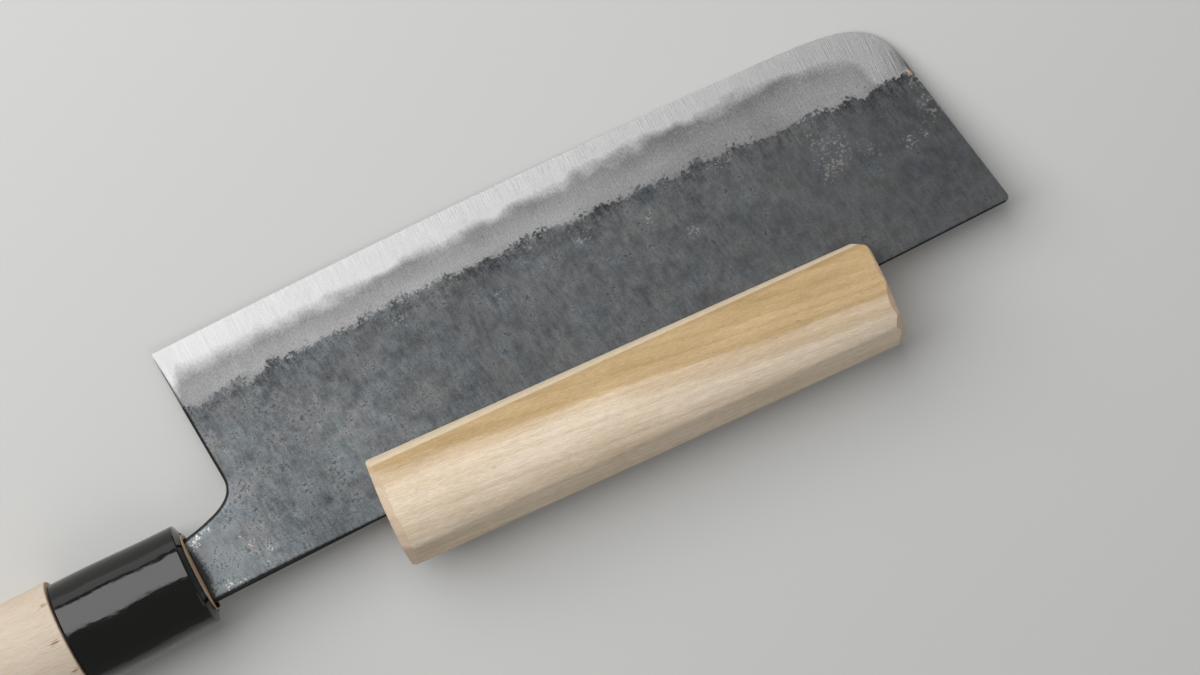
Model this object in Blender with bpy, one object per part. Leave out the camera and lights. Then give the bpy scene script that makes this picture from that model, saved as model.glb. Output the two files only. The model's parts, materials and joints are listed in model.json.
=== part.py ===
"""A mochi knife: a long-bladed two-handed knife for slabs of rice cake.

One forging makes the blade, its neck and its tang. The tang is driven into an oval handle of white wood,
whose nose carries a black ferrule. A second oval stick of the same wood is slotted over the spine, for the
other hand.

The knife is drawn in its own frame, in metres: x runs from the heel of the cutting edge to the tip, the
height runs from the cutting edge to the spine, and z comes out of the blade's left face. Heights are laid
along -y. At the end the whole knife is turned as it lies on a table by itself, left face up, with z = 0 the
table.
"""

import math

import bmesh
import bpy
import numpy as np
from mathutils import Matrix, Vector, geometry

# The blade's outline
BLADE_LENGTH = 0.2114  # heel corner to the tip corner of the spine
BLADE_HEIGHT = 0.0632  # the cutting edge's heel to the spine
BELLY_RISE = 0.0039  # how far the cutting edge has swept up where the tip corner starts
TIP_CORNER_ALONG = 0.039  # where the tip corner starts, back from the tip
TIP_CORNER_PULL = 0.83  # 1 draws the corner tight, 0 cuts it straight
FRONT_SLANT = math.radians(10.8)
SPINE_CORNER = 0.0018
ROUND_PULL = 0.55  # the pull that draws a quarter round
CHOIL_LEAN = math.radians(3.4)
CHOIL_CURVE = 0.0096  # how far the choil's curve comes down from the neck's underside
CHOIL_PULL = 0.75
NECK_LENGTH = 0.014  # heel corner back to the ferrule
NECK_HEIGHT = 0.0176
NECK_RISE = math.radians(10.5)  # the slope of the neck's underside at the ferrule

# The blade's thickness
SPINE_THICKNESS_HEEL = 0.0046
SPINE_THICKNESS_TIP = 0.0028
FLAT_TAPER = 0.0006  # what the flats lose in thickness from the spine to the bevel
BEVEL_WIDTH = 0.017  # ground band along the cutting edge
BEVEL_END = 0.0015  # its width where it runs out on the front
EDGE_THICKNESS = 0.0002
EASED_EDGE = 0.0007  # rounding of the spine, the front, the neck and the choil

# The tang, hidden in the handle
TANG_STOP = 0.04  # solid wood behind it
TANG_END_HEIGHT = 0.008
TANG_END_THICKNESS = 0.0024
TANG_CLEARANCE = 0.0003
MOUTH_GAP = 0.0014  # the burnt mouth of the tang hole, beyond the neck's edges
MOUTH_SIDE_GAP = 0.0021  # and beyond its flats
MOUTH_DEPTH = 0.03
HOLE_SPARE = 0.001  # the hole runs this far past the tang

# The main handle and its ferrule, from the neck outwards
HANDLE_LENGTH = 0.138  # with the ferrule
NOSE_RIM = 0.00045  # wood of the nose above and below the mouth
NOSE_CHEEK = 0.0042  # and on either side of it
NOSE_CLEARANCE = 0.0003
FERRULE_LENGTH = 0.0355
FERRULE_WALL = 0.0026
FERRULE_FLARE = 0.0007  # how much wider it is behind, all round
FERRULE_ROUND = 0.00085
HANDLE_STEP = 0.0012  # how far the wood stands proud of the ferrule
SHOULDER_ROUND = 0.001  # the wood's edge behind the ferrule
BUTT_ROUND = 0.0025
OVAL_POWER = 2.15  # 2 is an ellipse, more is squarer

# The second grip, on the spine
GRIP_START = 0.0362  # heel corner to the grip's end nearer the handle
GRIP_LENGTH = 0.1374
GRIP_HEIGHT_START = 0.0294
GRIP_HEIGHT_END = 0.0283
GRIP_THICKNESS = 0.0262
GRIP_TURN = math.radians(2.6)  # it sits askew: nearer the edge at the handle end
GRIP_BITE = 0.0150  # how far it reaches over the blade at the handle end
GRIP_END_CUT = 0.0021
GRIP_END_CUT_IN = 0.0012
GRIP_FACET_TURN = math.radians(48)  # the two planed facets beside the slot, from the edge's direction
GRIP_FACET_DEPTH = 0.00035
SLOT_CLEARANCE = 0.0003

# Smoothness of the curves
OVAL_STEPS = 64
BELLY_STEPS = 12
CORNER_STEPS = 14
ROUND_STEPS = 4
SMOOTH_BELOW = math.radians(30)

# kg per cubic metre, to find how the knife lies
STEEL_DENSITY = 7850
WOOD_DENSITY = 480
HORN_DENSITY = 1300

CHOIL_STRAIGHT = BLADE_HEIGHT - NECK_HEIGHT - CHOIL_CURVE
HANDLE_AXIS = BLADE_HEIGHT - NECK_HEIGHT / 2
FERRULE_FRONT = -NECK_LENGTH
FERRULE_REAR = FERRULE_FRONT - FERRULE_LENGTH
TANG_LENGTH = HANDLE_LENGTH - TANG_STOP
TANG_END = FERRULE_FRONT - TANG_LENGTH


def grown(half_sizes, by):
    return tuple(half + by for half in half_sizes)


# Half height and half thickness of each oval of the handle
MOUTH = (NECK_HEIGHT / 2 + MOUTH_GAP, SPINE_THICKNESS_HEEL / 2 + MOUTH_SIDE_GAP)
NOSE = (MOUTH[0] + NOSE_RIM, MOUTH[1] + NOSE_CHEEK)
BORE = grown(NOSE, NOSE_CLEARANCE)
FERRULE_IN_FRONT = grown(BORE, FERRULE_WALL)
FERRULE_BEHIND = grown(FERRULE_IN_FRONT, FERRULE_FLARE)
BODY = grown(FERRULE_BEHIND, HANDLE_STEP)


def clear_scene():
    for thing in list(bpy.data.objects):
        bpy.data.objects.remove(thing)


def material(name, colour, roughness, metallic=0.0):
    made = bpy.data.materials.new(name)
    made.use_nodes = True
    shader = made.node_tree.nodes["Principled BSDF"]
    shader.inputs["Base Color"].default_value = (*colour, 1)
    shader.inputs["Roughness"].default_value = roughness
    shader.inputs["Metallic"].default_value = metallic
    return made


def piece(name, mesh, finish):
    """Puts a bmesh in the scene as a named object, with its faces turned out."""
    bmesh.ops.recalc_face_normals(mesh, faces=mesh.faces)
    data = bpy.data.meshes.new(name)
    mesh.to_mesh(data)
    mesh.free()
    data.shade_smooth()
    data.set_sharp_from_angle(angle=SMOOTH_BELOW)
    data.materials.append(finish)
    made = bpy.data.objects.new(name, data)
    bpy.context.scene.collection.objects.link(made)
    return made


def cut(body, name, mesh):
    """Cuts a bmesh out of a piece with a Boolean."""
    cutter = piece(name, mesh, body.data.materials[0])
    cutter.hide_render = True
    cutter.display_type = "WIRE"
    boolean = body.modifiers.new(name, "BOOLEAN")
    boolean.operation = "DIFFERENCE"
    boolean.object = cutter
    return cutter


def corner_curve(start, start_way, end, end_way, pull, steps):
    """Points of a curve that leaves start along start_way and comes into end along end_way, all in plan."""
    corner = geometry.intersect_line_line_2d(start, start + start_way, end, end - end_way)
    handles = (start.lerp(corner, pull), end.lerp(corner, pull))
    return geometry.interpolate_bezier(start, *handles, end, steps + 1)


def belly(x):
    """Height of the cutting edge, which sweeps up as a parabola from the heel."""
    return BELLY_RISE * (x / (BLADE_LENGTH - TIP_CORNER_ALONG)) ** 2


def belly_slope(x):
    return 2 * BELLY_RISE * x / (BLADE_LENGTH - TIP_CORNER_ALONG) ** 2


def front(height):
    """Where the slanted front is, at this height."""
    return BLADE_LENGTH - (BLADE_HEIGHT - height) * math.tan(FRONT_SLANT)


def choil(height):
    """Where the straight part of the choil is, at this height."""
    return height * math.tan(CHOIL_LEAN)


def flat_half(x, height):
    """Half the thickness between the flats, which are planes that taper to the tip and to the edge."""
    spine = SPINE_THICKNESS_HEEL + (SPINE_THICKNESS_TIP - SPINE_THICKNESS_HEEL) * x / BLADE_LENGTH
    below_spine = (BLADE_HEIGHT - height) / (BLADE_HEIGHT - BEVEL_WIDTH)
    return (spine - FLAT_TAPER * below_spine) / 2


def tang_half(x, height):
    """Half the thickness of the tang, which goes on from the flats and thins to its end."""
    neck = flat_half(FERRULE_FRONT, height)
    lost = flat_half(FERRULE_FRONT, HANDLE_AXIS) - TANG_END_THICKNESS / 2
    return neck - lost * (FERRULE_FRONT - x) / TANG_LENGTH


def tang_line(x, side):
    """Height of the tang's upper line (side 1) or lower line (side -1)."""
    thinned = (NECK_HEIGHT - TANG_END_HEIGHT) / 2 * (FERRULE_FRONT - x) / TANG_LENGTH
    return HANDLE_AXIS + side * (NECK_HEIGHT / 2 - thinned)


def edge_and_shoulder():
    """The cutting edge, and the line where the bevel meets the flat, as two equal rows of plan points."""
    bevel_top = front(BEVEL_WIDTH + belly(BLADE_LENGTH))
    shoulder_end = Vector((bevel_top, BEVEL_WIDTH + belly(bevel_top)))
    edge_end_height = shoulder_end.y - BEVEL_END
    edge_end = Vector((front(edge_end_height), edge_end_height))
    corner_start = BLADE_LENGTH - TIP_CORNER_ALONG
    along = [corner_start * i / BELLY_STEPS for i in range(BELLY_STEPS)]
    edge = [Vector((x, belly(x))) for x in along]
    tip = corner_curve(
        Vector((corner_start, belly(corner_start))),
        Vector((1, belly_slope(corner_start))),
        edge_end,
        Vector((math.sin(FRONT_SLANT), math.cos(FRONT_SLANT))),
        TIP_CORNER_PULL,
        CORNER_STEPS,
    )
    shoulder = [Vector((x, belly(x) + BEVEL_WIDTH)) for x in along]
    shoulder[0].x = choil(BEVEL_WIDTH)
    for i, point in enumerate(tip):
        x = point.x + (shoulder_end.x - edge_end.x) * i / CORNER_STEPS
        shoulder.append(Vector((x, belly(x) + BEVEL_WIDTH)))
    shoulder[-1] = shoulder_end
    return edge + tip, shoulder


def upper_outline():
    """Plan points from the front, over the spine corner, to the neck at the ferrule."""
    below = BLADE_HEIGHT - SPINE_CORNER
    up = Vector((math.sin(FRONT_SLANT), math.cos(FRONT_SLANT)))
    spine_corner = corner_curve(
        Vector((front(below), below)),
        up,
        Vector((BLADE_LENGTH - SPINE_CORNER, BLADE_HEIGHT)),
        Vector((-1, 0)),
        ROUND_PULL,
        ROUND_STEPS,
    )
    return spine_corner + [Vector((FERRULE_FRONT, BLADE_HEIGHT))]


def neck_outline():
    """Plan points from the neck at the ferrule, round the choil's curve, to the top of its straight part."""
    return corner_curve(
        Vector((FERRULE_FRONT, BLADE_HEIGHT - NECK_HEIGHT)),
        Vector((math.cos(NECK_RISE), -math.sin(NECK_RISE))),
        Vector((choil(CHOIL_STRAIGHT), CHOIL_STRAIGHT)),
        Vector((-math.sin(CHOIL_LEAN), -math.cos(CHOIL_LEAN))),
        CHOIL_PULL,
        CORNER_STEPS,
    )


def with_half(points, half):
    """Adds to each plan point half the thickness that the body has there."""
    return [Vector((*point, half(*point))) for point in points]


def slab(patches, rim):
    """A closed body that is the same on both sides of the blade's middle plane.

    Its points are (x, height, half thickness). The patches cover one side, and the rim runs once round them.
    """
    mesh = bmesh.new()
    corners = {}

    def corner(point, side):
        key = (round(point.x, 7), round(point.y, 7), side)
        if key not in corners:
            corners[key] = mesh.verts.new((point.x, -point.y, side * point.z))
        return corners[key]

    for side in (1, -1):
        for patch in patches:
            mesh.faces.new([corner(point, side) for point in patch])
    walls = []
    for here, there in zip(rim, rim[1:] + rim[:1]):
        wall = [corner(here, 1), corner(there, 1), corner(there, -1), corner(here, -1)]
        walls.append(mesh.faces.new(wall))
    bmesh.ops.recalc_face_normals(mesh, faces=mesh.faces)
    return mesh, walls


def make_blade(steel):
    edge, shoulder = edge_and_shoulder()
    upper, neck = upper_outline(), neck_outline()
    edge = with_half(edge, lambda x, height: EDGE_THICKNESS / 2)
    shoulder = with_half(shoulder, flat_half)
    rack_line = with_half([(front(CHOIL_STRAIGHT), CHOIL_STRAIGHT)], flat_half)
    upper = with_half(upper, flat_half)
    neck = with_half(neck, flat_half)
    tang = with_half([(TANG_END, tang_line(TANG_END, side)) for side in (1, -1)], tang_half)
    bevel = [
        [edge[i], edge[i + 1], shoulder[i + 1], shoulder[i]] for i in range(len(edge) - 1)
    ]
    free_flat = shoulder + rack_line + neck[-1:]
    upper_flat = rack_line + upper + neck
    tang_side = [upper[-1], *tang, neck[0]]
    blunt_rim = [shoulder[-1], *rack_line, *upper, *tang, *neck, shoulder[0]]
    mesh, walls = slab([*bevel, free_flat, upper_flat, tang_side], edge + blunt_rim)
    blunt = walls[len(edge) : len(edge) + len(blunt_rim) - 1]
    long_sides = {
        side for wall in blunt for side in wall.edges if side.verts[0].co.z * side.verts[1].co.z > 0
    }
    bmesh.ops.bevel(
        mesh, geom=list(long_sides), offset=EASED_EDGE, segments=2, profile=0.5, affect="EDGES"
    )
    return piece("blade", mesh, steel)


def oval(half_height, half_thickness, facets=()):
    """Points round an oval as (height, z), from the side away from the cutting edge.

    The radius at each angle is that of a superellipse. Each facet planed off it is (the angle that it
    faces, how deep it is planed).
    """
    angle = 2 * math.pi * np.arange(OVAL_STEPS) / OVAL_STEPS
    tall = np.abs(np.cos(angle) / half_height) ** OVAL_POWER
    thick = np.abs(np.sin(angle) / half_thickness) ** OVAL_POWER
    radius = (tall + thick) ** (-1 / OVAL_POWER)
    for facing, depth in facets:
        off = np.cos(angle - facing)
        reach = (radius * off).max() - depth
        facet = np.divide(reach, off, out=np.full_like(off, np.inf), where=off > 0)
        radius = np.minimum(radius, facet)
    return np.column_stack([radius * np.cos(angle), radius * np.sin(angle)])


def loft(rings, closed=False):
    """Joins rings of points: into a stick with capped ends or, if closed, on into the first ring again."""
    mesh = bmesh.new()
    rows = [[mesh.verts.new(point) for point in ring] for ring in rings]
    for here, there in zip(rows, rows[1:] + rows[:1] if closed else rows[1:]):
        for i in range(len(here)):
            j = (i + 1) % len(here)
            mesh.faces.new([here[i], here[j], there[j], there[i]])
    if not closed:
        mesh.faces.new(rows[0])
        mesh.faces.new(rows[-1])
    return mesh


def handle_ring(x, half_sizes):
    return [(x, -HANDLE_AXIS - height, z) for height, z in oval(*half_sizes)]


def rounded_rings(end, inwards, half_sizes, radius):
    """Rings of an oval end with a rounded rim, from its face to its side, which goes on inwards (1 or -1)."""
    rings = []
    for step in range(ROUND_STEPS + 1):
        turn = math.pi / 2 * step / ROUND_STEPS
        x = end + inwards * radius * (1 - math.cos(turn))
        rings.append(handle_ring(x, grown(half_sizes, -radius * (1 - math.sin(turn)))))
    return rings


def make_ferrule(horn):
    rings = rounded_rings(FERRULE_FRONT, -1, FERRULE_IN_FRONT, FERRULE_ROUND)
    rings += reversed(rounded_rings(FERRULE_REAR, 1, FERRULE_BEHIND, FERRULE_ROUND))
    rings += [handle_ring(FERRULE_REAR, BORE), handle_ring(FERRULE_FRONT, BORE)]
    return piece("ferrule", loft(rings, closed=True), horn)


def make_handle(wood):
    rings = rounded_rings(FERRULE_FRONT - HANDLE_LENGTH, 1, BODY, BUTT_ROUND)
    shoulder = FERRULE_REAR - NOSE_CLEARANCE
    rings += reversed(rounded_rings(shoulder, -1, BODY, SHOULDER_ROUND))
    rings += [handle_ring(shoulder, NOSE), handle_ring(FERRULE_FRONT, NOSE)]
    handle = piece("handle", loft(rings), wood)
    return handle, cut(handle, "tang_hole", tang_hole())


def tang_hole():
    """The burnt hole: a wide mouth that narrows to a close fit round the tang."""

    def ring(x, top, bottom, half_thickness):
        corners = ((top, 1), (top, -1), (bottom, -1), (bottom, 1))
        return [(x, -height, side * half_thickness) for height, side in corners]

    rings = []
    for x in (TANG_END - HOLE_SPARE, FERRULE_FRONT - MOUTH_DEPTH):
        top, bottom = (tang_line(x, side) + side * TANG_CLEARANCE for side in (1, -1))
        rings.append(ring(x, top, bottom, tang_half(x, BLADE_HEIGHT) + TANG_CLEARANCE))
    outside = FERRULE_FRONT + HOLE_SPARE
    rings.append(ring(outside, HANDLE_AXIS + MOUTH[0], HANDLE_AXIS - MOUTH[0], MOUTH[1]))
    return loft(rings)


def grip_place():
    """The grip's own frame: x along its axis from the end nearer the handle, turned a little askew."""
    lowest = BLADE_HEIGHT - GRIP_BITE
    corner = Vector((GRIP_START, -lowest, 0))
    turn = Matrix.Rotation(-GRIP_TURN, 4, "Z")
    return Matrix.Translation(corner) @ turn @ Matrix.Translation((0, -GRIP_HEIGHT_START / 2, 0))


def make_spine_grip(wood):
    place = grip_place()
    start, end = GRIP_HEIGHT_START / 2, GRIP_HEIGHT_END / 2
    profile = [
        (0, start, GRIP_END_CUT_IN),
        (GRIP_END_CUT, start, 0),
        (GRIP_LENGTH - GRIP_END_CUT, end, 0),
        (GRIP_LENGTH, end, GRIP_END_CUT_IN),
    ]
    facets = [(math.pi + side * GRIP_FACET_TURN, GRIP_FACET_DEPTH) for side in (1, -1)]
    rings = []
    for x, half_height, inset in profile:
        section = oval(half_height - inset, GRIP_THICKNESS / 2 - inset, facets)
        rings.append([place @ Vector((x, -height, z)) for height, z in section])
    grip = piece("spine_grip", loft(rings), wood)
    return grip, cut(grip, "spine_slot", spine_slot())


def spine_slot():
    """The slot in the grip: the blade's own wedge with a clearance, run past the grip at its ends."""
    near, far = GRIP_START - GRIP_HEIGHT_START, GRIP_START + GRIP_LENGTH + GRIP_HEIGHT_START
    low, floor = BLADE_HEIGHT - GRIP_BITE - GRIP_HEIGHT_START, BLADE_HEIGHT + SLOT_CLEARANCE
    plan = [(near, low), (far, low), (far, floor), (near, floor)]
    outline = with_half(plan, lambda x, height: flat_half(x, height) + SLOT_CLEARANCE)
    mesh, _ = slab([outline], outline)
    return mesh


def triangles(thing):
    """The corners of a piece's triangles, with its modifiers, as an array of (triangle, corner, xyz)."""
    shaped = thing.evaluated_get(bpy.context.evaluated_depsgraph_get())
    data = shaped.to_mesh()
    data.calc_loop_triangles()
    points = np.empty(3 * len(data.vertices), np.float32)
    data.vertices.foreach_get("co", points)
    index = np.empty(3 * len(data.loop_triangles), np.int32)
    data.loop_triangles.foreach_get("vertices", index)
    shaped.to_mesh_clear()
    return points.reshape(-1, 3)[index].reshape(-1, 3, 3).astype(float)


def lying_pose(densities):
    """How the knife lies by itself with its left face up.

    It rests on the side of its convex hull that is nearest below its centre of mass. That side is turned
    level, the middle of the knife's box goes over the origin, and its lowest point goes to z = 0.
    """
    meshes = {thing: triangles(thing) for thing in densities}
    mass, moment = 0.0, np.zeros(3)
    for thing, corners in meshes.items():
        volume = np.einsum("ij,ij->i", corners[:, 0], np.cross(corners[:, 1], corners[:, 2])) / 6
        mass += densities[thing] * volume.sum()
        moment += densities[thing] * (volume[:, None] * corners.mean(axis=1) * 0.75).sum(axis=0)
    centre = Vector(moment / mass)
    points = np.unique(np.concatenate([corners.reshape(-1, 3) for corners in meshes.values()]), axis=0)
    hull = bmesh.new()
    for point in points:
        hull.verts.new(point)
    bmesh.ops.convex_hull(hull, input=hull.verts)
    hull.normal_update()
    under = []
    for face in hull.faces:
        distance = face.normal.dot(face.verts[0].co - centre)
        way = face.normal * math.copysign(1, distance)
        if way.z < -0.5:
            under.append((abs(distance), tuple(way)))
    hull.free()
    level = Vector(min(under)[1]).rotation_difference(Vector((0, 0, -1))).to_matrix()
    turned = points @ np.array(level).T
    low, high = turned.min(axis=0), turned.max(axis=0)
    middle = (low + high) / 2
    return Matrix.Translation((-middle[0], -middle[1], -low[2])) @ level.to_4x4()


def make_knife():
    clear_scene()
    steel = material("forged_steel", (0.13, 0.15, 0.16), 0.55, 0.8)
    horn = material("black_horn", (0.004, 0.004, 0.004), 0.12)
    wood = material("white_wood", (0.68, 0.53, 0.36), 0.6)
    blade = make_blade(steel)
    ferrule = make_ferrule(horn)
    handle, tang_cutter = make_handle(wood)
    spine_grip, slot_cutter = make_spine_grip(wood)
    pose = lying_pose(
        {blade: STEEL_DENSITY, ferrule: HORN_DENSITY, handle: WOOD_DENSITY, spine_grip: WOOD_DENSITY}
    )
    knife = bpy.data.objects.new("knife", None)
    bpy.context.scene.collection.objects.link(knife)
    for thing in (blade, ferrule, handle, spine_grip, tang_cutter, slot_cutter):
        thing.parent = knife
    knife.matrix_world = pose


make_knife()
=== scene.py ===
import json
import math

import bmesh
import bpy
import numpy as np
from mathutils import Matrix


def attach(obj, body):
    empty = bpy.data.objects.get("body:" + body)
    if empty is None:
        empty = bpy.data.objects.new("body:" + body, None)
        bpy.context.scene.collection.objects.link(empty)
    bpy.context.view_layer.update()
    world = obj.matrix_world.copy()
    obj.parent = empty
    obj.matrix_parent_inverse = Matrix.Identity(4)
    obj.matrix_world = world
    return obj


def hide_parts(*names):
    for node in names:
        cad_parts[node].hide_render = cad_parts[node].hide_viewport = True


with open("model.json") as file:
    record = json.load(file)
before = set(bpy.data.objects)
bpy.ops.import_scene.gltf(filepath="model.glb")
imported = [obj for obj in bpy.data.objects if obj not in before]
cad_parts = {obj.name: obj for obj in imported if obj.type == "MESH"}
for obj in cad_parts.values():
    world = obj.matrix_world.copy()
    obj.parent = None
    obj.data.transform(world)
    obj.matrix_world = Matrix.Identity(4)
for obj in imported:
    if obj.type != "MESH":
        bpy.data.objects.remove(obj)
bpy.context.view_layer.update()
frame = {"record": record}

# A two-handed knife for slabs of rice cake, lying on a table on its right face. Lengths are in mm in the
# knife's own frame: x runs from the heel of the cutting edge to the tip, the height from the edge to the
# spine, and z out of the left face. The pieces follow in the order of assembly.

# The blade

# One forging: hard cutting steel welded between sides of soft iron, drawn out with its neck and tang. The
# hammer and the fire leave a black skin on it. Both sides are ground bright from that skin down to the edge,
# on a wheel that turns across the edge, and the spine, the neck and the choil are eased with a file.

# The knife's own axes, as rows, and its heel, found from the mounts
MM = 0.001
mounts = {mount["name"]: mount for mount in frame["record"]["mounts"]}
along = -np.array(mounts["butt_end"]["axis"])
outward = np.array(mounts["left_flat"]["axis"]) - np.array(mounts["right_flat"]["axis"])
outward -= along * (outward @ along) / (along @ along)
knife_axes = np.array([along, np.cross(along, outward), outward])
knife_axes /= np.linalg.norm(knife_axes, axis=1, keepdims=True)
butt_x, handle_axis = -152.0, 54.4
heel = np.array(mounts["butt_end"]["pos_m"]) - np.array([butt_x, handle_axis, 0]) * MM @ knife_axes

blade_length, blade_height = 211.36, 63.2
belly_rise, tip_corner_start, tip_corner_end = 3.9, 172.4, 20.95
tip_corner_pull, spine_corner, round_pull = 0.83, 1.8, 0.55
choil_straight, choil_pull = 36.0, 0.75
ferrule_front, neck_height = -14.0, 17.6
front_slant, choil_lean, neck_rise = np.radians([10.8, 3.4, 10.5])
spine_thickness = (4.6, 2.8)  # at the heel and at the tip
flat_taper, bevel_width, bevel_round = 0.6, 17.0, 0.1
tang_end, tang_end_height, tang_end_thickness = -112.0, 8.0, 2.4
edge_half, small_bevel_slope, bevel_meeting = 0.05, 0.17, 6
tip_blunting, blunt_from, blunt_run = 0.7, 187, 14
skin_start, skin_rise, skin_rise_run, skin_rise_power = 15.5, 7.8, 200, 2.2
spine_easing, neck_spine_easing, spine_fall = 0.65, 0.95, 0.30  # with more near the neck
choil_easing, choil_fall = 1.35, 0.50
# Black is painted on the eased spine and choil as their shade
spine_shade_inset, choil_shade_width = 0.1, 0.95  # the black there is narrower than the easing
skin_dent, ground_dent, dent_fade = 0.035, 0.010, 3  # depths of the hammer's and the wheel's waves
skin_waves, ground_waves, ground_height_share = (14, 50), (7, 26), 0.3  # shortest and longest
belly_steps, corner_steps, round_steps, tang_steps = 90, 61, 13, 60
blade_columns, choil_rows, choil_curve_rows, neck_rows = 220, 42, 27, 18
rim_steps, rim_end = np.array([0, 0.1, 0.25, 0.45, 0.7, 1.0, 1.4]), 2.2  # closer beside a rim
edge_rim_share, edge_rim_end = 0.8, 1.9
neck_run_on, tang_set_back, wave_count = (4, 0.7), 0.2, 16


def rise(value, start, run):
    """0 up to start, then an even climb that reaches 1 after run."""
    return np.clip((value - start) / run, 0, 1)


def fall(value, end, run):
    """1 at first, then an even drop of length run that reaches 0 at end."""
    return np.clip((end - value) / run, 0, 1)


def points_of(*coordinates):
    """Points from their coordinates, which are spread to one shape first."""
    return np.stack(np.broadcast_arrays(*coordinates), axis=-1)


def crossing_curve(start, start_way, end, end_way, pull, steps):
    """Points round a corner: a cubic that leaves one straight line and runs into the other, drawn by pull
    towards the point where the two lines cross."""
    share = np.linalg.solve(np.column_stack([start_way, end_way]), np.subtract(end, start))[0]
    corner = np.add(start, share * np.array(start_way))
    first, second = start + pull * (corner - start), end + pull * (corner - end)
    t = np.linspace(0, 1, steps)[:, None]
    return (1 - t) ** 3 * start + 3 * (1 - t) ** 2 * t * first + 3 * (1 - t) * t**2 * second + t**3 * end


def length_along(line):
    """How far each plan point of a line is from its first, along the line."""
    return np.r_[0, np.cumsum(np.hypot(*np.diff(line, axis=0).T))]


def points_on(line, shares):
    """The points that lie at these shares of the length of a line of plan points."""
    run = length_along(line)
    return np.column_stack([np.interp(shares * run[-1], run, line[:, axis]) for axis in (0, 1)])


def distance_to(line, x, height):
    """The shortest distance in plan from each point to a line: to each of its straight bits, and the least of
    these."""
    start, way = line[:-1], np.diff(line, axis=0)
    from_start = points_of(x, height)[..., None, :] - start
    share = np.clip((from_start * way).sum(-1) / (way**2).sum(-1), 0, 1)
    return np.linalg.norm(from_start - share[..., None] * way, axis=-1).min(-1)


def front_at(height):
    """Where the slanted front is: its slant times how far down from the spine."""
    return blade_length - (blade_height - height) * np.tan(front_slant)


def flat_half(x, height):
    """Half the thickness between the flats, planes that taper to the tip and to the edge."""
    spine = spine_thickness[0] + (spine_thickness[1] - spine_thickness[0]) * x / blade_length
    return (spine - flat_taper * (blade_height - height) / (blade_height - bevel_width)) / 2


def belly(x):
    """Height of the cutting edge: a parabola that sweeps up from the heel."""
    return belly_rise * (x / tip_corner_start) ** 2


def skin_line(x):
    """Height where the black skin starts: level behind, then rising as a power of the way to the tip."""
    return skin_start + skin_rise * (np.clip(x, 0, None) / skin_rise_run) ** skin_rise_power


def eased(distance, width, depth):
    """What an eased edge leaves of the thickness: it falls away towards the edge as a quarter ellipse."""
    return 1 - depth * (1 - np.sqrt(1 - np.clip(1 - distance / width, 0, 1) ** 2))


def waves(x, height, shortest, longest, seed, height_share=1.0):
    """Gentle hand-made unevenness: sine waves of random heading and length, added, about 1 high. A share of
    the height below 1 draws them out upwards."""
    draw = np.random.default_rng(seed)
    heading, phase = draw.uniform(0, math.pi, wave_count), draw.uniform(0, 2 * math.pi, wave_count)
    number = 2 * math.pi / draw.uniform(shortest, longest, wave_count)
    run = x[..., None] * np.cos(heading) + height_share * height[..., None] * np.sin(heading)
    return np.sin(run * number + phase).sum(-1) / math.sqrt(wave_count)


def numbered(points, first=0):
    """The number of each point in a grid of points, counted from first."""
    return first + np.arange(points[..., 0].size).reshape(points.shape[:2])


def quads(ids):
    """The four-cornered faces between neighbours in a grid of point numbers."""
    return np.stack([ids[:-1, :-1], ids[1:, :-1], ids[1:, 1:], ids[:-1, 1:]], axis=-1).reshape(-1, 4)


def put(name, data):
    """A new object of this data, in the scene."""
    made = bpy.data.objects.new(name, data)
    bpy.context.scene.collection.objects.link(made)
    return made


def make_piece(name, points, faces, finish, slot, sharp_above=32, **fields):
    """A closed piece that replaces the solid of its name. Its points are in the knife's own frame, in mm,
    and each field is kept on them for the finish. Points that meet are merged, and the faces are turned
    outwards."""
    data = bpy.data.meshes.new(name)
    places = heel + points.reshape(-1, 3) * MM @ knife_axes
    data.from_pydata(places.tolist(), [], [face for block in faces for face in block.tolist()])
    for field, values in fields.items():
        kept = data.attributes.new(field, "FLOAT_VECTOR", "POINT")
        kept.data.foreach_set("vector", np.float32(values).ravel())
    mesh = bmesh.new()
    mesh.from_mesh(data)
    bmesh.ops.remove_doubles(mesh, verts=mesh.verts, dist=1e-7)
    bmesh.ops.recalc_face_normals(mesh, faces=mesh.faces)
    mesh.to_mesh(data)
    mesh.free()
    data.shade_smooth()
    data.set_sharp_from_angle(angle=math.radians(sharp_above))
    data.materials.append(finish)
    made = put(name + "_made", data)
    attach(made, "root")
    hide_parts(name)


belly_x = np.linspace(0, tip_corner_start, belly_steps)
belly_line = np.column_stack([belly_x, belly(belly_x)])
front_way = (math.sin(front_slant), math.cos(front_slant))
tip_line = crossing_curve(
    belly_line[-1], (1, 2 * belly_rise / tip_corner_start),
    (front_at(tip_corner_end), tip_corner_end), front_way, tip_corner_pull, corner_steps,
)
spine_turn = crossing_curve(
    (front_at(blade_height - spine_corner), blade_height - spine_corner), front_way,
    (blade_length - spine_corner, blade_height), (-1, 0), round_pull, round_steps,
)
choil_top = (choil_straight * math.tan(choil_lean), choil_straight)
neck_corner = (ferrule_front, blade_height - neck_height)
choil_curve = crossing_curve(
    neck_corner, (math.cos(neck_rise), -math.sin(neck_rise)),
    choil_top, (-math.sin(choil_lean), -math.cos(choil_lean)), choil_pull, corner_steps,
)[::-1]
neck_top = (ferrule_front, blade_height)
edge_line = np.vstack([belly_line, tip_line[1:]])
front_line = np.vstack([tip_line[-1:], spine_turn])
spine_line = np.array([spine_turn[-1], neck_top, (tang_end, blade_height)])
choil_line = np.vstack([[(0, 0)], choil_curve])
# The choil's line runs on inside the ferrule, so that its easing doesn't end just at the front
hidden_neck = (ferrule_front - neck_run_on[0], blade_height - neck_height + neck_run_on[1])

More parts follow.
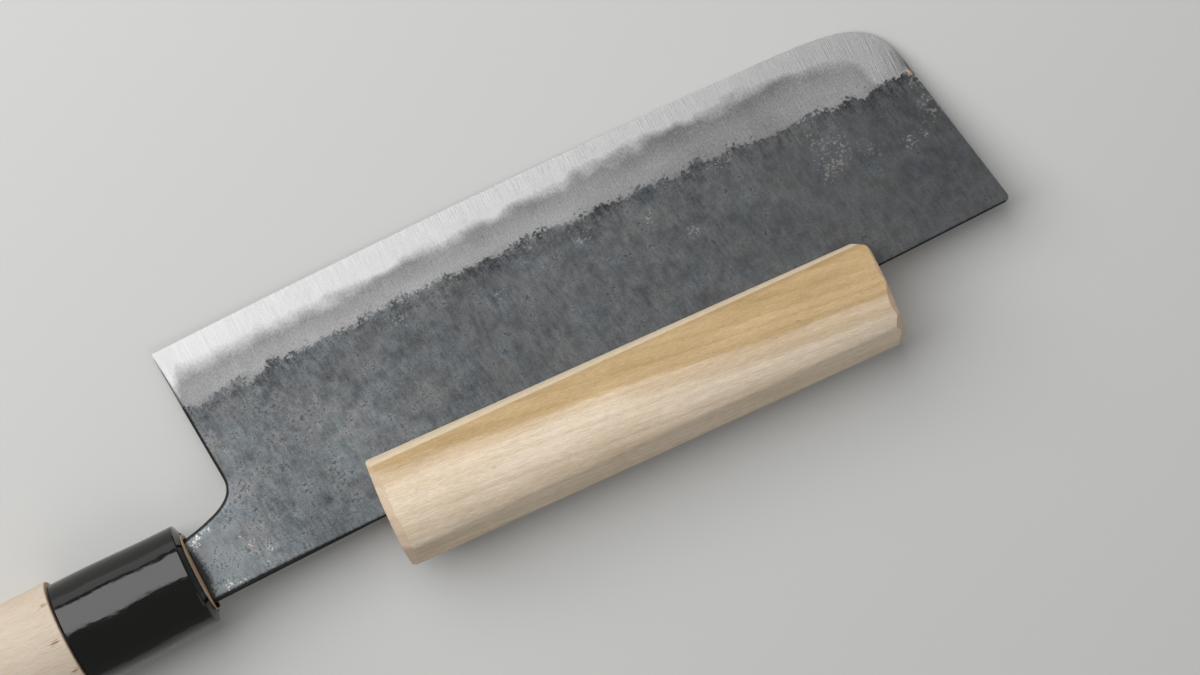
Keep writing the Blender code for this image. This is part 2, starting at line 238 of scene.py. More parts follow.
# The left side's plan is a grid between four borders: edge below, front, spine above, choil and neck behind
half_tip, half_turn = corner_steps // 2, round_steps // 2
lower = np.vstack([belly_line, tip_line[1 : half_tip + 1]])
right = np.vstack([tip_line[half_tip:], spine_turn[: half_turn + 1]])
upper = np.vstack([[neck_top], spine_turn[: half_turn - 1 : -1]])
left = np.vstack([choil_line, [neck_top]])
left_run, lower_length = length_along(left), length_along(lower)[-1]
row_at = np.concatenate([
    rim_steps * edge_rim_share,
    np.linspace(edge_rim_end, left_run[1], choil_rows),
    np.linspace(left_run[1], left_run[-2], choil_curve_rows)[1:],
    np.linspace(left_run[-2], left_run[-1] - rim_end, neck_rows)[1:],
    left_run[-1] - rim_steps[::-1],
])
column_at = np.concatenate([
    rim_steps, np.linspace(rim_end, lower_length - rim_end, blade_columns), lower_length - rim_steps[::-1],
])
v, u = row_at[:, None, None] / left_run[-1], column_at[None, :, None] / lower_length
low, high = points_on(lower, u.ravel())[None], points_on(upper, u.ravel())[None]
back, fore = points_on(left, v.ravel())[:, None], points_on(right, v.ravel())[:, None]
# Each point is blended from the borders across, plus the borders up, less the four corners' own blend
plan = (1 - v) * low + v * high + (1 - u) * back + u * fore - (
    (1 - v) * ((1 - u) * left[0] + u * right[0]) + v * ((1 - u) * left[-1] + u * right[-1])
)
neck_row = int(np.abs(row_at - left_run[-2]).argmin())
tang_x = np.linspace(ferrule_front, tang_end, tang_steps)
behind = (ferrule_front - tang_x) / (ferrule_front - tang_end)
tang_height = neck_height + (tang_end_height - neck_height) * behind
across = (plan[neck_row:, 0, 1] - handle_axis) / neck_height
tang_plan = points_of(tang_x, handle_axis + across[:, None] * tang_height)[:, 1:]

body_ids = numbered(plan)
tang_ids = np.hstack([body_ids[neck_row:, :1], numbered(tang_plan, body_ids.size)])
side_count = int(tang_ids[-1, -1]) + 1
rim = np.concatenate([
    body_ids[0], body_ids[1:, -1], body_ids[-1, -2::-1], tang_ids[-1, 1:], tang_ids[-2::-1, -1],
    tang_ids[0, -2:0:-1], body_ids[neck_row:0:-1, 0], body_ids[0, :1],
])
wall = np.stack([rim, rim + side_count])

x, height = np.vstack([plan.reshape(-1, 2), tang_plan.reshape(-1, 2)]).T
from_edge = distance_to(edge_line, x, height)
from_spine, from_front = distance_to(spine_line, x, height), distance_to(front_line, x, height)
from_blunt = np.minimum(from_front, from_spine)
from_back = distance_to(np.vstack([choil_line, [hidden_neck]]), x, height)
from_tang = np.abs(height - blade_height + neck_height) + tang_set_back
from_back = np.where(x < ferrule_front, from_tang, from_back)
full = flat_half(x, height)
in_tang = rise(-x, -ferrule_front, ferrule_front - tang_end)
full -= in_tang * (flat_half(ferrule_front, handle_axis) - tang_end_thickness / 2)
# The bevel climbs from the edge's sweep to the skin line, a little rounded. At the tip, where the edge
# leaves that sweep, a narrow steeper bevel runs along it, and it ends blunt, like the front above it
climb = np.clip((height - belly(x)) / (skin_line(x) - belly(x)), 0, 1)
plain = np.where(x < 0, full, edge_half + (full - edge_half) * climb * (1 + bevel_round * (1 - climb)))
blunt = edge_half + tip_blunting * rise(x, blunt_from, blunt_run) ** 1.5
steep = blunt + small_bevel_slope * from_edge
half = (plain**-bevel_meeting + steep**-bevel_meeting) ** (-1 / bevel_meeting)
easing = spine_easing + neck_spine_easing * fall(x, 40, 35)
half *= eased(from_blunt, easing, spine_fall)
half *= eased(from_back, choil_easing, choil_fall)
calm = rise(from_edge, 0, dent_fade) * np.clip((height - skin_line(x)) / 4 + 0.5, 0, 1)
ground = rise(from_edge, 0, dent_fade) * (1 - calm)
sides = []
for side, seed in ((1, 3), (-1, 4)):
    hammered = waves(x, height, *skin_waves, seed)
    wheeled = waves(x, height, *ground_waves, seed, ground_height_share)
    uneven = skin_dent * calm * hammered + ground_dent * ground * wheeled
    sides.append(np.column_stack([x, height, side * (half + uneven)]))
blade_points = np.vstack(sides)

# How far each point is past the cutting steel, past the skin line and inside the eased edges, which are
# painted black as their shade. The band of steel narrows from the heel and widens again at the tip. At the
# heel it fades slowly into the iron
band = 8.8 - 3.0 * rise(x, 0, 150) ** 1.2 + 1.8 * rise(x, 165, 25) + 7 * rise(x, 190, 9)
band += 8 * fall(x, 4, 4) - 1.9 * fall(x, 45, 45)
band_crispness = 0.5 + 0.5 * rise(x, 0, 60)
past_line = height - skin_line(x) - 0.6 * fall(x, 40, 40)
# Inside the eased spine and choil edges, which get painted black shade
in_edge_shade = np.minimum(from_spine / (easing - spine_shade_inset), from_back / choil_shade_width)
lines = np.column_stack([(from_edge - band) * band_crispness, past_line, in_edge_shade])
# Where the scale has chipped into light specks: (x, height, spread)
chips = (
    (178, 33, 5.2), (150, 21.5, 3), (172.5, 36.8, 2.6), (173.4, 26.5, 2.6), (199.2, 39, 1.3), (204, 25, 3),
    (203.5, 33.5, 4), (127.5, 26.5, 2.2), (111, 23, 3.6), (60, 20, 3), (20, 17.5, 3), (85, 26, 2.5),
    (136.5, 34, 2.4), (194.8, 39, 2.5), (186, 37, 2), (96.5, 20, 3),
    (-0.5, 51.5, 1.6), (1.5, 54, 1.5), (5, 57, 1.8), (-12, 48, 2.2), (-10.5, 46.7, 1.4), (-7, 46, 1.4),
    (-8, 61.2, 1.8), (-4.5, 61.6, 1.4), (3.7, 61.3, 1.8),
)
chipped = sum(np.exp(-((x - at) ** 2 + (height - up) ** 2) / spread**2) for at, up, spread in chips)
# The scale is worn towards the heel and thickest past the middle. It is rubbed bare on the neck and in a
# patch in front of the choil. Along the front's edge a painted highlight lightens it as if bare, and it is
# darker just behind that edge
worn = fall(x, 90, 100) ** 1.5 - 0.25 * rise(x, 110, 60)
worn *= 0.6 + 0.5 * rise(height, 20, 18)
bare = fall(x, 14, 22) * (0.15 + 0.85 * rise(height, 20, 20))
bare += 0.45 * np.exp(-(((x - 35) / 15) ** 2) - ((height - 40) / 10) ** 2)
# A painted highlight along the front's eased edge, laid on like bare metal
bare = np.maximum(bare, 1.4 * fall(from_front, 0.5, 0.5))
bare -= 0.16 * rise(x, 180, 12) * np.clip((60 - height) / 14, 0.2, 1)
wear = np.column_stack([chipped, worn, bare])
# Beside the ferrule the neck is painted dark, most in its middle: the ferrule's shadow and dark reflection
# painted on, with the scorch that burning the tang in left. The iron is dullest some way back from the tip,
# and fades into the steel at it. The weld's line is straighter towards the heel
past_scorch = x + 13.6 - 2.1 * (1 - rise(np.abs(height - handle_axis - 0.7), 0, 8.8) ** 2)
iron_shift = np.interp(x, (110, 148, 165, 190), (0, -0.2, -0.1, 0.32))
forging = np.column_stack([past_scorch, iron_shift, band_crispness**2])


def linear(hex_colour):
    """An sRGB colour as the linear one that a shader takes, by the sRGB curve with its straight foot."""
    srgb = np.array([int(hex_colour[at : at + 2], 16) for at in (1, 3, 5)]) / 255
    return (*np.where(srgb <= 0.04045, srgb / 12.92, ((srgb + 0.055) / 1.055) ** 2.4), 1.0)


def output_of(source):
    """An output as it is, or a node's first one in use."""
    if isinstance(source, bpy.types.Node):
        return next(output for output in source.outputs if output.enabled)
    return source


def add(tree, kind, settings=None, links=None):
    """Adds a node. Settings go to its properties and unlinked sockets, and links feed a socket from an
    earlier node."""
    node = tree.nodes.new(kind)
    for name, value in (settings or {}).items():
        if isinstance(name, int) or name in node.inputs:
            node.inputs[name].default_value = value
        else:
            setattr(node, name, value)
    for name, source in (links or {}).items():
        tree.links.new(output_of(source), node.inputs[name])
    return node


def new_finish(name, metallic, roughness):
    """A material with its one shader, and the node tree to feed it."""
    made = bpy.data.materials.new(name)
    made.use_nodes = True
    shader = made.node_tree.nodes["Principled BSDF"]
    shader.inputs["Metallic"].default_value = metallic
    shader.inputs["Roughness"].default_value = roughness
    return made, made.node_tree, shader


def feed(tree, shader, **sources):
    """Links the shader's sockets, by name with _ for a space, to the nodes that drive them."""
    for name, source in sources.items():
        tree.links.new(output_of(source), shader.inputs[name.replace("_", " ")])


# Laminated carbon steel, three surfaces in one forging. The fire skin is blue-black scale, dull and grainy,
# chipped to light specks here and there. The ground iron below it is mid grey, with fine wheel lines, and
# the ground cutting steel along the edge is the brightest. Wheel lines of 0.1 mm are drawn 0.22 mm wide,
# since finer ones don't show.
blade_finish, tree, shader = new_finish("laminated_steel_ground_below_fire_skin", 1.0, 0.4)
place = add(tree, "ShaderNodeAttribute", {"attribute_name": "plan_mm"}).outputs["Vector"]
turned = add(tree, "ShaderNodeMapping", {"Rotation": (0, 0, 0.15)}, {"Vector": place})
look = {}
for field, names in (
    ("lines_mm", ("past_steel", "past_skin", "rim")),
    ("wear", ("chipped", "worn", "bare")),
    ("forging", ("past_scorch", "iron_shift", "waviness")),
):
    kept = add(tree, "ShaderNodeAttribute", {"attribute_name": field}).outputs["Vector"]
    look.update(zip(names, add(tree, "ShaderNodeSeparateXYZ", links={"Vector": kept}).outputs))
# Patterns that swing about 0: (name, place, grain size in mm along, up and through, detail)
for number, (name, on, size, detail) in enumerate((
    ("crumb", place, (0.8, 0.8, 0.8), 3), ("lobe", place, (6, 4.5, 6), 3),
    ("billow", place, (14, 11, 11), 2), ("wheel", place, (0.22, 9, 9), 2),
    ("sweep", place, (2.5, 30, 9), 2), ("grit", place, (0.45, 0.45, 0.45), 2),
    ("cloud", place, (13, 9, 13), 3), ("tint", place, (9, 7, 9), 2),
    ("speck", place, (0.75, 0.75, 0.75), 4), ("pit", place, (0.6, 0.6, 0.6), 2),
    ("scuff", place, (3.5, 3.5, 3.5), 5), ("flow", turned, (1.0, 3.8, 2), 5),
)):
    sized = {"Scale": 1 / np.array(size), "Location": (7.3 * number, 3.1 * number, 0)}
    sized = add(tree, "ShaderNodeMapping", sized, {"Vector": on})
    settings = {"normalize": False, "Scale": 1.0, "Detail": detail, "Roughness": 0.6}
    look[name] = add(tree, "ShaderNodeTexNoise", settings, {"Vector": sized})
# The iron lightens away from the steel, and the scale is darkest in a fringe along its border
lifting, fringe = {"From Max": 6.5}, {"From Min": -1.0, "From Max": 6.0, "To Min": -1.0, "To Max": 0.0}
look["lifting"] = add(tree, "ShaderNodeMapRange", lifting, {"Value": look["past_steel"]})
look["past_fringe"] = add(tree, "ShaderNodeMapRange", fringe, {"Value": look["past_skin"]})
# Sums of those: (name, start, what is added and how much of it). Two names together stand for their product
for name, start, terms in (
    ("skin_edge", 0, {"past_skin": 1, "crumb": 1.4, "grit": 0.4, "lobe": 1.7}),
    ("steel_edge", 0, {"past_steel": 1, ("billow", "waviness"): 2.4, "crumb": 0.5, "wheel": 0.2}),
    ("steel_tone", 0.5, {"wheel": 0.15, "sweep": 0.09, "grit": 0.12}),
    ("iron_tone", 0.19,
     {"lifting": 0.48, "wheel": 0.08, "grit": 0.27, "cloud": 0.15, "worn": 0.1, "iron_shift": 1}),
    ("strength", 0.43, {"worn": 0.52, "past_fringe": -0.45}),
    ("mottle", 0, {"cloud": 0.17, "flow": 0.24, "grit": 0.27, "scuff": 0.18}),
    ("scale_tone", 0.35, {"past_fringe": 0.10, ("mottle", "strength"): 1, "worn": 0.24, "bare": 0.47}),
    ("blueness", -0.1, {"tint": 1, "worn": 0.6, "bare": -0.5}),
    ("pit_depth", -0.88, {"pit": 1, "scuff": 0.95, "worn": 0.36}),
    ("speck_here", -0.86, {"chipped": 0.85, "speck": 1, "scuff": 0.3}),
    # Black shade painted on the eased spine and choil
    ("rim_depth", 0.95, {"rim": -1, "crumb": 0.15}),
    # Painted shadow and reflection of the ferrule on the neck, with its scorch
    ("scorch_depth", 0, {"past_scorch": -1, "crumb": 0.5, "grit": 0.5}),
):
    total = None
    for source, weight in terms.items():
        if isinstance(source, tuple):
            factors = {0: look[source[0]], 1: look[source[1]]}
            term = add(tree, "ShaderNodeMath", {"operation": "MULTIPLY"}, factors)
        else:
            term = look[source]
        links = {0: term, 2: total} if total else {0: term}
        total = add(tree, "ShaderNodeMath", {"operation": "MULTIPLY_ADD", 1: weight, 2: start}, links)
    look[name] = total
# Each of those turned into a share from 0 to 1: (name, of what, from, to, most)
for name, source, least, most, reach in (
    ("in_skin", "skin_edge", -0.35, 0.35, 1), ("in_iron", "steel_edge", -1.5, 1.5, 1),
    ("blue", "blueness", -0.5, 0.5, 1), ("pits", "pit_depth", 0.0, 0.2, 0.55),
    ("specks", "speck_here", 0.0, 0.45, 0.9), ("painted_rim_shade", "rim_depth", -0.1, 0.3, 0.93),
    ("scorch", "scorch_depth", -0.5, 0.9, 0.88),
):
    settings = {"From Min": least, "From Max": most, "To Max": reach}
    look[name] = add(tree, "ShaderNodeMapRange", settings, {"Value": look[source]})
# Colours laid over each other: (name, share, colour or layer at 0, colour or layer at 1)
for name, share, under, over in (
    ("steel", "steel_tone", "#848484", "#9E9E9E"), ("iron", "iron_tone", "#626263", "#8F8F8F"),
    ("ground", "in_iron", "steel", "iron"), ("neutral", "scale_tone", "#2D2E30", "#8B8C8D"),
    ("bluish", "scale_tone", "#2D2F33", "#848B8F"), ("scale", "blue", "neutral", "bluish"),
    ("pitted", "pits", "scale", "#202122"), ("chip", "bare", "#878583", "#E3E4E5"),
    # The near-black over the scale is shade painted on the eased spine and choil
    ("specked", "specks", "pitted", "chip"), ("rim_shaded", "painted_rim_shade", "specked", "#15120E"),
    # The dark brown on the neck is the ferrule's painted shadow and reflection, with its scorch
    ("scorched_and_shadowed", "scorch", "rim_shaded", "#1D1712"), ("surface", "in_skin", "ground", "scorched_and_shadowed"),
):
    settings, links = {"data_type": "RGBA"}, {0: look[share]}
    for socket, colour in ((6, under), (7, over)):
        if colour.startswith("#"):
            settings[socket] = linear(colour)
        else:
            links[socket] = look[colour]
    look[name] = add(tree, "ShaderNodeMix", settings, links)
surface = look["surface"]
# Two spots of rust: (place, spread, colour)
for rust_spot, spread, colour in (((202.8, 23.2, 1.3), 1.05, "#B59A82"), ((1.3, 54.3, 2.3), 0.5, "#A0764F")):
    away = add(tree, "ShaderNodeVectorMath", {"operation": "DISTANCE", 1: rust_spot}, {0: place})
    ragged = {0: look["speck"], 2: away.outputs["Value"]}
    ragged = add(tree, "ShaderNodeMath", {"operation": "MULTIPLY_ADD", 1: 0.6}, ragged)
    rusty = {"From Min": spread, "From Max": spread / 2, "To Max": 0.6}
    rusty = add(tree, "ShaderNodeMapRange", rusty, {"Value": ragged})
    surface = add(tree, "ShaderNodeMix", {"data_type": "RGBA", 7: linear(colour)}, {0: rusty, 6: surface})
ground_rough = add(tree, "ShaderNodeMapRange", {"To Min": 0.36, "To Max": 0.50}, {"Value": look["in_iron"]})
scale_rough = {"From Min": -0.5, "From Max": 0.5, "To Min": 0.66, "To Max": 0.48}
scale_rough = add(tree, "ShaderNodeMapRange", scale_rough, {"Value": look["scuff"]})
roughness = {0: look["in_skin"], 2: ground_rough, 3: scale_rough}
roughness = add(tree, "ShaderNodeMix", {"data_type": "FLOAT"}, roughness)
metal = add(tree, "ShaderNodeMapRange", {"To Min": 1.0, "To Max": 0.6}, {"Value": look["in_skin"]})
scale_relief = {0: look["grit"], 2: look["flow"]}
scale_relief = add(tree, "ShaderNodeMath", {"operation": "MULTIPLY_ADD", 1: 0.6}, scale_relief)
scale_relief = add(tree, "ShaderNodeMath", {"operation": "SUBTRACT"}, {0: scale_relief, 1: look["pits"]})
relief = {0: look["in_skin"], 2: look["wheel"], 3: scale_relief}
relief = add(tree, "ShaderNodeMix", {"data_type": "FLOAT"}, relief)
bump = add(tree, "ShaderNodeBump", {"Strength": 1.0, "Distance": 0.000012}, {"Height": relief})
feed(tree, shader, Base_Color=surface, Roughness=roughness, Metallic=metal, Normal=bump)

make_piece(
    "blade", blade_points,
    [quads(ids) for ids in (body_ids, tang_ids, body_ids + side_count, tang_ids + side_count, wall)],
    blade_finish, "blade_steel", plan_mm=blade_points, lines_mm=np.vstack([lines, lines]),
    wear=np.vstack([wear, wear]), forging=np.vstack([forging, forging]),
)

# The ferrule

# An oval ring of black horn, or a moulding like it, that stops the wood splitting round the tang. It is
# turned to fit the handle's nose, pressed on and polished, so it mirrors the lamps with a wavy edge.

ferrule_rear, ferrule_wall, ferrule_flare = -49.5, 2.6, 0.7
front_cone, front_round, rear_round = 0.9, (0.7, 0.6), (0.4, 0.4)  # rounds: along the ferrule and inwards
nose_half, nose_clearance = (10.65, 8.6), 0.3
oval_power, mean_reach = 2.15, 12
polish_depth, polish_waves, polish_seed = 0.07, (9, 40), 8
oval_steps, quarter_rings, ferrule_side_rings, bore_rings = 128, 9, 50, 12
oval_turn = np.linspace(0, 2 * math.pi, oval_steps + 1)


def oval_radius(turn, half_height, half_thickness, power):
    """How far an oval reaches at each angle from its top: a superellipse, where power 2 is an ellipse and
    more is squarer."""
    tall, thick = np.abs(np.cos(turn) / half_height), np.abs(np.sin(turn) / half_thickness)
    return (tall**power + thick**power) ** (-1 / power)


def stick(rings, bumps=0.0):
    """Points of ovals carried along the handle's axis. Each ring is (x, half height, half thickness, power,
    height of its middle), and bumps are added to every reach."""
    at, half_height, half_thickness, power, middle = (np.array(column)[:, None] for column in zip(*rings))
    reach = oval_radius(oval_turn[None], half_height, half_thickness, power) + bumps
    return points_of(at, middle + reach * np.cos(oval_turn), reach * np.sin(oval_turn))


def rounded_end(end, way, halves, lengthwise, inwards):
    """Rings of a rounded rim, from an end face to the side that goes on from it in this way, 1 or -1: a
    quarter of an ellipse."""
    rings = []
    for turn in np.linspace(0, math.pi / 2, quarter_rings):
        sunk = inwards * (1 - math.sin(turn))
        rings.append((end + way * lengthwise * (1 - math.cos(turn)), *(half - sunk for half in halves)))
    return rings


front_half = [half + nose_clearance + ferrule_wall for half in nose_half]
rear_half = [half + ferrule_flare for half in front_half]
cone_x = ferrule_front - front_cone
ferrule_rings = rounded_end(cone_x, -1, front_half, *front_round)
for share in np.linspace(0, 1, ferrule_side_rings)[1:-1]:
    spot = cone_x - front_round[0] + share * (ferrule_rear - cone_x + front_round[0] + rear_round[0])
    ferrule_rings.append((spot, *(half + ferrule_flare * share for half in front_half)))
ferrule_rings += rounded_end(ferrule_rear, 1, rear_half, *rear_round)[::-1]
polished_rings = len(ferrule_rings)
bore = [half + nose_clearance for half in nose_half]
ferrule_rings += [(spot, *bore) for spot in np.linspace(ferrule_rear, ferrule_front, bore_rings)]
ferrule_rings.append(ferrule_rings[0])
ring_x = np.array([ring[0] for ring in ferrule_rings])[:, None]
# The polish leaves gentle waves in the outside, which meet where rings and turn close
polish = waves(ring_x + 0 * oval_turn, oval_turn * mean_reach, *polish_waves, polish_seed)
polish *= np.where(np.arange(len(ferrule_rings)) < polished_rings, polish_depth, 0)[:, None]
polish[0] = polish[-1]
polish[:, -1] = polish[:, 0]
ferrule_points = stick([(*ring, oval_power, handle_axis) for ring in ferrule_rings], polish)

# Buffalo horn, turned and buffed: almost black, with a deep gloss, faint fibres along it and fine scratches.
horn_finish, tree, shader = new_finish("polished_black_horn", 0.0, 0.12)
place = add(tree, "ShaderNodeAttribute", {"attribute_name": "knife_mm"}).outputs["Vector"]
grain = {}
for name, size in (("fibre", (16, 0.5, 0.5)), ("smear", (9, 3, 3)), ("dint", (2.6, 1.2, 1.2))):
    sized = add(tree, "ShaderNodeMapping", {"Scale": 1 / np.array(size)}, {"Vector": place})
    grain[name] = add(tree, "ShaderNodeTexNoise", {"Scale": 1.0, "Detail": 3}, {"Vector": sized})
horn_colour = {"data_type": "RGBA", 6: linear("#050505"), 7: linear("#0D0C0A")}
horn_colour = add(tree, "ShaderNodeMix", horn_colour, {0: grain["fibre"]})
gloss = {"From Min": 0.3, "From Max": 0.7, "To Min": 0.05, "To Max": 0.13}
gloss = add(tree, "ShaderNodeMapRange", gloss, {"Value": grain["smear"]})
relief = {0: grain["fibre"], 2: grain["dint"]}
relief = add(tree, "ShaderNodeMath", {"operation": "MULTIPLY_ADD", 1: 0.15}, relief)
bump = add(tree, "ShaderNodeBump", {"Strength": 1.0, "Distance": 0.00004}, {"Height": relief})
feed(tree, shader, Base_Color=horn_colour, Roughness=gloss, Normal=bump)

make_piece(
    "ferrule", ferrule_points, [quads(numbered(ferrule_points))], horn_finish, "black_ferrule",
    knife_mm=ferrule_points,
)

# The main handle

# An oval stick of white wood, planed and sanded. Its front is turned down to a nose that fills the ferrule,
# and the hot tang is burnt into it, which leaves a wide scorched mouth. Friction alone holds it.

handle_step = 1.19  # how far the wood stands proud of the ferrule
body_half = [half + handle_step for half in rear_half]
shoulder_x, shoulder_round, butt_round = ferrule_rear - nose_clearance, 0.35, 2.5
mouth_half, mouth_shift, mouth_depth, tang_clearance = (9.7, 4.4), 0.5, 30.0, 0.3
mouth_power, tang_power, hole_end = 7.0, 12.0, tang_end - 1
nose_crown, crown_haste = 0.4, 1.3  # how far the nose swells out of the ferrule, and how soon
body_rings, nose_rings, crown_rings, mouth_rings, tang_rings = 90, 20, 8, 16, 30
far = -9.0  # mm: a place that no mark reaches


def tang_ring(at):
    """The hole's own ring round the tang, with its clearance: half height, half thickness, power, middle."""
    behind = (ferrule_front - at) / (ferrule_front - tang_end)
    half_height = (neck_height + (tang_end_height - neck_height) * behind) / 2 + tang_clearance
    thinned = behind * (flat_half(ferrule_front, handle_axis) - tang_end_thickness / 2)
    half_thickness = flat_half(ferrule_front, blade_height) - thinned + tang_clearance
    return half_height, half_thickness, tang_power, handle_axis


handle_rings = [(butt_x, 0.4, 0.35), (butt_x, 4, 3.5), (butt_x, 8, 7)]  # across the flat butt
handle_rings += rounded_end(butt_x, 1, body_half, butt_round, butt_round)
body_span = np.linspace(butt_x + butt_round, shoulder_x - shoulder_round, body_rings)[1:-1]
handle_rings += [(spot, *body_half) for spot in body_span]
handle_rings += rounded_end(shoulder_x, -1, body_half, shoulder_round, shoulder_round)[::-1]
handle_rings += [(spot, *nose_half) for spot in np.linspace(shoulder_x, ferrule_front, nose_rings)]
handle_rings = [(*ring, oval_power, handle_axis) for ring in handle_rings]
crown_start = len(handle_rings)
for share in np.linspace(0, 1, crown_rings)[1:]:
    halves = [nose + (mouth - nose) * share for nose, mouth in zip(nose_half, mouth_half)]
    spot = ferrule_front + nose_crown * math.sin(math.pi / 2 * min(1, crown_haste * share))
    power = oval_power + (mouth_power - oval_power) * share
    handle_rings.append((spot, *halves, power, handle_axis + mouth_shift * share))
mouth_start = len(handle_rings)
deepest = tang_ring(ferrule_front - mouth_depth)
for share in np.linspace(0, 1, mouth_rings)[1:]:
    halves = [wide + (tight - wide) * share for wide, tight in zip(mouth_half, deepest)]
    spot, middle = ferrule_front - mouth_depth * share, handle_axis + mouth_shift * (1 - share)
    handle_rings.append((spot, *halves, mouth_power, middle))
for spot in np.linspace(ferrule_front - mouth_depth, hole_end, tang_rings)[1:]:
    handle_rings.append((spot, *tang_ring(spot)))
handle_points = stick(handle_rings)
handle_ids = numbered(handle_points)
# How far each ring is into the burnt mouth: from before it on the crown to deep inside
into_mouth = np.full(len(handle_rings), far)
into_mouth[crown_start:mouth_start] = np.linspace(-3.5, 0, mouth_start - crown_start)
into_mouth[mouth_start:] = 3.0
handle_marks = np.full(handle_points.shape, far)
handle_marks[..., 1] = into_mouth[:, None]


def wood_finish(name, sapwood, contrast, charred):
    """Ho, a white magnolia, planed and sanded: cream sapwood with a tan heart, straight faint grain, fibres
    a quarter of a millimetre wide and few short dark pores. Its place runs along, up and through the
    stick."""
    made, tree, shader = new_finish(name, 0.0, 0.58)
    place = add(tree, "ShaderNodeAttribute", {"attribute_name": "stick_mm"}).outputs["Vector"]
    kept = add(tree, "ShaderNodeAttribute", {"attribute_name": "marks_mm"}).outputs["Vector"]
    in_heart, in_char, in_strip = add(tree, "ShaderNodeSeparateXYZ", links={"Vector": kept}).outputs
    turned = add(tree, "ShaderNodeMapping", {"Rotation": (0.5, 0.0, -0.07)}, {"Vector": place})
    # Patterns that swing about 0: (name, grain size in mm along, up and through, detail)
    grain = {}
    for number, (pattern, size, detail) in enumerate((
        ("rings", (170, 2.4, 16), 2), ("fibre", (3, 0.27, 0.27), 3), ("pores", (2.2, 0.22, 0.22), 0),
        ("patch", (25, 7, 7), 2), ("edge", (40, 4, 4), 3), ("streak", (60, 0.8, 6), 2),
        ("nap", (0.6, 0.4, 0.4), 1),
    )):
        sized = {"Scale": 1 / np.array(size), "Location": (5.7 * number, 2.3 * number, 0)}
        sized = add(tree, "ShaderNodeMapping", sized, {"Vector": turned})
        settings = {"normalize": False, "Scale": 1.0, "Detail": detail}
        grain[pattern] = add(tree, "ShaderNodeTexNoise", settings, {"Vector": sized})
    tone = None  # swings about 0.5
    for pattern, weight in (("rings", 0.38), ("streak", 0.10), ("nap", 0.2), ("patch", 0.3)):
        links = {0: grain[pattern], 2: tone} if tone else {0: grain[pattern]}
        tone = add(tree, "ShaderNodeMath", {"operation": "MULTIPLY_ADD", 1: weight, 2: 0.5}, links)
    # Growth rings about 2 mm apart, each ending in a thin darker line
    layers = add(tree, "ShaderNodeMapping", {"Scale": (0.012, 0.33, 0.05)}, {"Vector": turned})
    settings = {
        "bands_direction": "Y", "wave_profile": "SAW", "Scale": 0.5, "Distortion": 3.0,
        "Detail": 2.0, "Detail Scale": 0.8, "Detail Roughness": 0.5,
    }
    layers = add(tree, "ShaderNodeTexWave", settings, {"Vector": layers}).outputs["Fac"]
    late = {"From Min": 0.55, "From Max": 1.0, "To Max": -0.22}
    late = add(tree, "ShaderNodeMapRange", late, {"Value": layers})
    tone = add(tree, "ShaderNodeMath", {"operation": "ADD"}, {0: tone, 1: late})
    swing = {"clamp": False, "To Min": 0.5 - contrast / 2, "To Max": 0.5 + contrast / 2}
    tone = add(tree, "ShaderNodeMapRange", swing, {"Value": tone})
    near_heart = {0: grain["edge"], 2: in_heart}
    near_heart = add(tree, "ShaderNodeMath", {"operation": "MULTIPLY_ADD", 1: 1.3}, near_heart)
    steps = []
    for least, most, share in ((-4.0, -2.4, 0.42), (-0.7, 0.7, 0.58)):  # the tan starts in two steps
        step = {"interpolation_type": "SMOOTHSTEP", "From Min": least, "From Max": most, "To Max": share}
        steps.append(add(tree, "ShaderNodeMapRange", step, {"Value": near_heart}))
    heart = add(tree, "ShaderNodeMath", {"operation": "ADD"}, dict(enumerate(steps)))
    woods = []
    for dark, light in (sapwood, ("#AD8F61", "#CEB185")):
        wood = {"data_type": "RGBA", 6: linear(dark), 7: linear(light)}
        woods.append(add(tree, "ShaderNodeMix", wood, {0: tone}))
    colour = add(tree, "ShaderNodeMix", {"data_type": "RGBA"}, {0: heart, 6: woods[0], 7: woods[1]})
    strip = {"From Min": -0.15, "From Max": 0.15, "To Max": 0.8}
    strip = add(tree, "ShaderNodeMapRange", strip, {"Value": in_strip})
    colour = add(tree, "ShaderNodeMix", {"data_type": "RGBA", 7: linear("#E8D7BC")}, {0: strip, 6: colour})
    fibre_swing = 0.09 * contrast
    fibre = {"From Min": -0.5, "From Max": 0.5, "To Min": 0.98 - fibre_swing, "To Max": 0.98 + fibre_swing}
    pores = {"From Min": -0.72, "From Max": -0.62, "To Min": 0.6}
    for pattern, shade in (("fibre", fibre), ("pores", pores)):
        shade = add(tree, "ShaderNodeMapRange", shade, {"Value": grain[pattern]})
        shading = {"data_type": "RGBA", "blend_type": "MULTIPLY", 0: 1.0}
        colour = add(tree, "ShaderNodeMix", shading, {6: colour, 7: shade})
    # Cut across the fibres the wood drinks more oil and dirt, so the ends are a little darker
    across = {"operation": "DOT_PRODUCT", 1: tuple(knife_axes[0])}
    across = add(tree, "ShaderNodeVectorMath", across, {0: add(tree, "ShaderNodeTexCoord").outputs["Normal"]})
    across = add(tree, "ShaderNodeMath", {"operation": "ABSOLUTE"}, {0: across.outputs["Value"]})
    # Stains laid over the wood in turn: (what each goes by, how it starts, colour)
    stains = [(across, {"From Min": 0.2, "From Max": 0.5, "To Max": 0.6}, "#C5AD95")]
    if charred:
        # The mouth is toasted brown and then burnt black
        toasted = {"From Min": -5.0, "From Max": -1.0, "To Max": 0.85}
        burnt = {"interpolation_type": "SMOOTHSTEP", "From Min": -1.0, "From Max": 0.6}
        stains += [(in_char, toasted, "#C0905A"), (in_char, burnt, "#17110C")]
